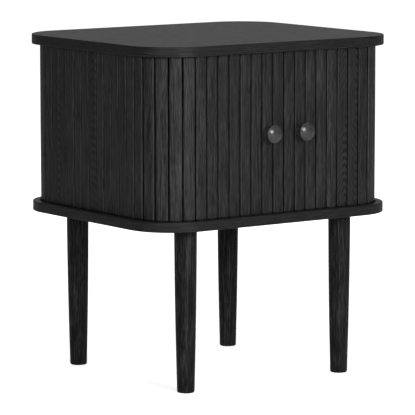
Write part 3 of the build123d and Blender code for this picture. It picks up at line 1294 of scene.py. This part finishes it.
@dataclass
class Studio:
    """Pale floor, white surroundings, soft lamps and the camera."""

    floor_reach: float = 60.0
    floor_colour: float = 0.86
    floor_roughness: float = 0.9
    floor_lift: Pair = (0.72, 1.0)
    lift_range: Pair = (0.5, 2.2)
    glossy_lift: float = 0.15
    ambient: float = 0.08
    backdrop: Pair = (0.06, 0.47)
    backdrop_range: Pair = (0.40, 0.85)
    azimuth: float = -35.558
    elevation: float = 4.361
    distance: float = 5.1749
    pitch: float = -7.485
    roll: float = -0.063
    lens: float = 276.53
    sensor: float = 36.0
    sight: float = 200.0
    lamps: tuple[SoftLamp, ...] = (
        SoftLamp("key_lamp", azimuth=-5.0, elevation=15.0, distance=3.2, size=0.7, level=0.64),
        SoftLamp("left_lamp", azimuth=-54.0, elevation=18.0, distance=3.4, size=0.7, level=0.34),
        SoftLamp("high_lamp", azimuth=35.0, elevation=68.0, distance=3.0, size=1.4, level=0.12),
        SoftLamp("far_lamp", azimuth=142.0, elevation=28.0, distance=3.2, size=1.2, level=0.30,
                 is_mirrored=False),
    )

    def floor(self) -> Piece:
        """Lay the floor: a pale sheet, lit by the lamps and lifted to white away from the table.

        Returns:
            The floor.
        """
        reach = self.floor_reach
        corners = [(side_x * reach, side_y * reach, 0.0)
                   for side_x, side_y in ((-1, -1), (1, -1), (1, 1), (-1, 1))]
        mesh = bpy.data.meshes.new("studio_floor")
        mesh.from_pydata(corners, [], [(0, 1, 2, 3)])
        piece = bpy.data.objects.new("studio_floor", mesh)
        bpy.context.scene.collection.objects.link(piece)
        sheet = ShaderSheet("pale_floor")
        sheet.surface.inputs["Base Color"].default_value = (*[self.floor_colour] * 3, 1.0)
        sheet.roughen(self.floor_roughness)
        sheet.gloss(0.0)
        sheet.surface.inputs["Emission Color"].default_value = (1.0, 1.0, 1.0, 1.0)
        coordinates = sheet.tree.nodes.new("ShaderNodeTexCoord")
        away = sheet.tree.nodes.new("ShaderNodeVectorMath")
        away.operation = "LENGTH"
        sheet.link(coordinates.outputs["Object"], away.inputs[0])
        lift = sheet.spread(away.outputs["Value"], *self.lift_range, *self.floor_lift)
        rays = sheet.tree.nodes.new("ShaderNodeLightPath").outputs
        seen = sheet.math("MAXIMUM", rays["Is Camera Ray"], rays["Is Transmission Ray"])
        seen = sheet.math("MAXIMUM", seen, sheet.times(rays["Is Glossy Ray"], self.glossy_lift))
        sheet.link(sheet.times(seen, lift), sheet.surface.inputs["Emission Strength"])
        mesh.materials.append(sheet.material)
        return piece

    def facing(self, tree: bpy.types.NodeTree) -> Socket:
        """How far a direction points to the pale backdrop behind the table, as the camera stands.

        The direction is laid flat, made one long and dotted with the way from the camera to the
        table.

        Args:
            tree: The world's nodes.

        Returns:
            1 straight behind the table, 0 to its sides, -1 towards the camera.
        """
        behind = -direction(self.azimuth, 0.0)
        start = tree.nodes.new("ShaderNodeTexCoord").outputs["Generated"]
        for operation, vector in (("MULTIPLY", (1.0, 1.0, 0.0)), ("NORMALIZE", None),
                                  ("DOT_PRODUCT", behind)):
            step = tree.nodes.new("ShaderNodeVectorMath")
            step.operation = operation
            tree.links.new(start, step.inputs[0])
            start = step.outputs[0]
            if vector:
                step.inputs[1].default_value = vector
        return step.outputs["Value"]

    def surroundings(self) -> None:
        """Light the room evenly and dimly, and white to the camera.

        Gloss mirrors a dark room in front and the pale backdrop behind.
        """
        world = bpy.data.worlds.new("white_studio")
        bpy.context.scene.world = world
        world.use_nodes = True
        tree = world.node_tree
        tree.nodes.clear()
        output = tree.nodes.new("ShaderNodeOutputWorld")
        background = tree.nodes.new("ShaderNodeBackground")
        background.inputs["Color"].default_value = (1.0, 1.0, 1.0, 1.0)
        tree.links.new(background.outputs[0], output.inputs["Surface"])
        behind = tree.nodes.new("ShaderNodeMapRange")
        behind.interpolation_type = "SMOOTHSTEP"
        names = ("From Min", "From Max", "To Min", "To Max")
        for name, number in zip(names, (*self.backdrop_range, *self.backdrop)):
            behind.inputs[name].default_value = number
        tree.links.new(self.facing(tree), behind.inputs["Value"])
        path = tree.nodes.new("ShaderNodeLightPath")
        level = self.ambient
        rays = (
            ("Is Glossy Ray", behind.outputs[0]),
            ("Is Transmission Ray", 1.0),
            ("Is Camera Ray", 1.0),
        )
        for name, seen in rays:
            mix = tree.nodes.new("ShaderNodeMix")
            mix.data_type = "FLOAT"
            tree.links.new(path.outputs[name], mix.inputs[0])
            for socket, value in zip(mix.inputs[2:4], (level, seen)):
                if isinstance(value, float):
                    socket.default_value = value
                else:
                    tree.links.new(value, socket)
            level = mix.outputs[0]
        tree.links.new(level, background.inputs["Strength"])

    def camera(self) -> Piece:
        """Stand the camera where the photograph was taken from.

        Returns:
            The camera.
        """
        low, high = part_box("top_plate")
        target = Vector(((low.x + high.x) / 2, (low.y + high.y) / 2, high.z))
        data = bpy.data.cameras.new("camera")
        data.lens = self.lens
        data.sensor_width = self.sensor
        data.clip_end = self.sight
        piece = bpy.data.objects.new("camera", data)
        bpy.context.scene.collection.objects.link(piece)
        around = Matrix.Rotation(math.radians(self.azimuth), 4, "Z")
        tilt = Matrix.Rotation(math.radians(90.0 + self.pitch), 4, "X")
        roll = Matrix.Rotation(math.radians(self.roll), 4, "Z")
        place = target + self.distance * direction(self.azimuth, self.elevation)
        piece.matrix_world = Matrix.Translation(place) @ around @ tilt @ roll
        bpy.context.scene.camera = piece
        return piece

    def set_up(self) -> None:
        """Lay the floor, hang the lamps and stand the camera."""
        self.floor()
        self.surroundings()
        for lamp in self.lamps:
            lamp.hang()
        self.camera()
        bpy.context.scene.view_settings.view_transform = "Standard"


def make_plates() -> None:
    """Make the top and the bottom plate and put them on the cabinet."""
    faces = StainedOak("oak_plate_faces", ground=0.24, line_pitch=6.0 * MM, fibre_strength=0.35,
                       cloud_strength=0.2)
    edges = StainedOak("oak_plate_edges", ground=0.17, line_pitch=2.6 * MM, fibre_strength=0.6,
                       fine_strength=0.7, cloud_strength=0.1)
    finishes = [faces.build(), edges.build()]
    plates = PlateSet()
    top = plates.make("top_plate", "plate_top_veneered", False, TOP_BOARD, finishes)
    bottom = plates.make("bottom_plate", "plate_bottom_veneered", True, BOTTOM_BOARD, finishes)
    for piece in (top, bottom):
        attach(piece, "cabinet")
        log.info("%s", piece.name)


def make_curtains() -> None:
    """Make both curtains: faces, cloth, flanks darkened as painted shade and bevels paled as
    painted highlight on every slat.
    """
    faces = StainedOak("oak_slats")
    # Painted shade: the flanks stand in the gaps between slats, and their colour is made near black
    # to darken the gaps.
    flanks = StainedOak("oak_slat_flanks_painted_shade", ground=0.04, line_strength=0.03, fibre_strength=0.3,
                        fine_strength=0.3, cloud_strength=0.1, pore_strength=0.05,
                        roughness=0.8, gloss_level=0.05)
    # Painted highlight: the bevels get a paler colour than the faces, standing in for the lamps'
    # gloss along each slat's edge.
    bevels = StainedOak("oak_slat_bevels_painted_highlight", ground=0.36)
    cloth = CurtainCloth("curtain_canvas")
    finishes = [finish.build() for finish in (faces, cloth, flanks, bevels)]
    track = CurtainTrack()
    right = Curtain("right", 1, alone_from=3, side_run=(13, 19), seed=5, first_board=33.0,
                    flames={6: 118.0, 7: -150.0, 17: 140.0}, slopes={1: -0.10, 2: -0.03})
    left = Curtain("left", -1, alone_from=4, side_run=(14, 20), seed=8, first_board=11.0,
                   flames={19: 90.0, 24: -120.0}, slopes={6: 0.05, 8: -0.05})
    for curtain in (right, left):
        curtain.make(track, finishes)


def make_knobs() -> None:
    """Make the two knobs, with a darker, duller coat on foot and waist; the darker colour is
    painted shade under the head.
    """
    head = SprayedLacquer("knob_black_lacquer")
    # Painted shade: the waist's colour is darker than the head's; the higher roughness and lower
    # gloss are its duller coat.
    waist = SprayedLacquer("knob_waist_lacquer_painted_shade", colour=(0.022, 0.022, 0.023), roughness=0.55,
                           gloss_level=0.2)
    finishes = [head.build(), waist.build()]
    for word in ("left", "right"):
        Knob().make(word, finishes)


def make_legs() -> None:
    """Make the four legs."""
    oak = StainedOak("oak_legs", grain=Grain.UPRIGHT, ground=0.14, gloss_level=0.09,
                     has_board=False).build()
    for corner in ("front_left", "front_right", "back_left", "back_right"):
        TurnedLeg().make(corner, oak)


def dress_inside() -> None:
    """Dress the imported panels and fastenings."""
    panels = StainedOak("oak_inner_panels", grain=Grain.UPRIGHT, ground=0.22, roughness=0.62,
                        has_board=False)
    InnerCase().dress(panels.build(), PlainBeech("beech").build(), ZincPlate("zinc").build())


def main() -> None:
    """Build every piece, dress it and set up the studio."""
    make_plates()
    make_curtains()
    make_knobs()
    make_legs()
    dress_inside()
    Studio().set_up()


if __name__ == "__main__":
    main()
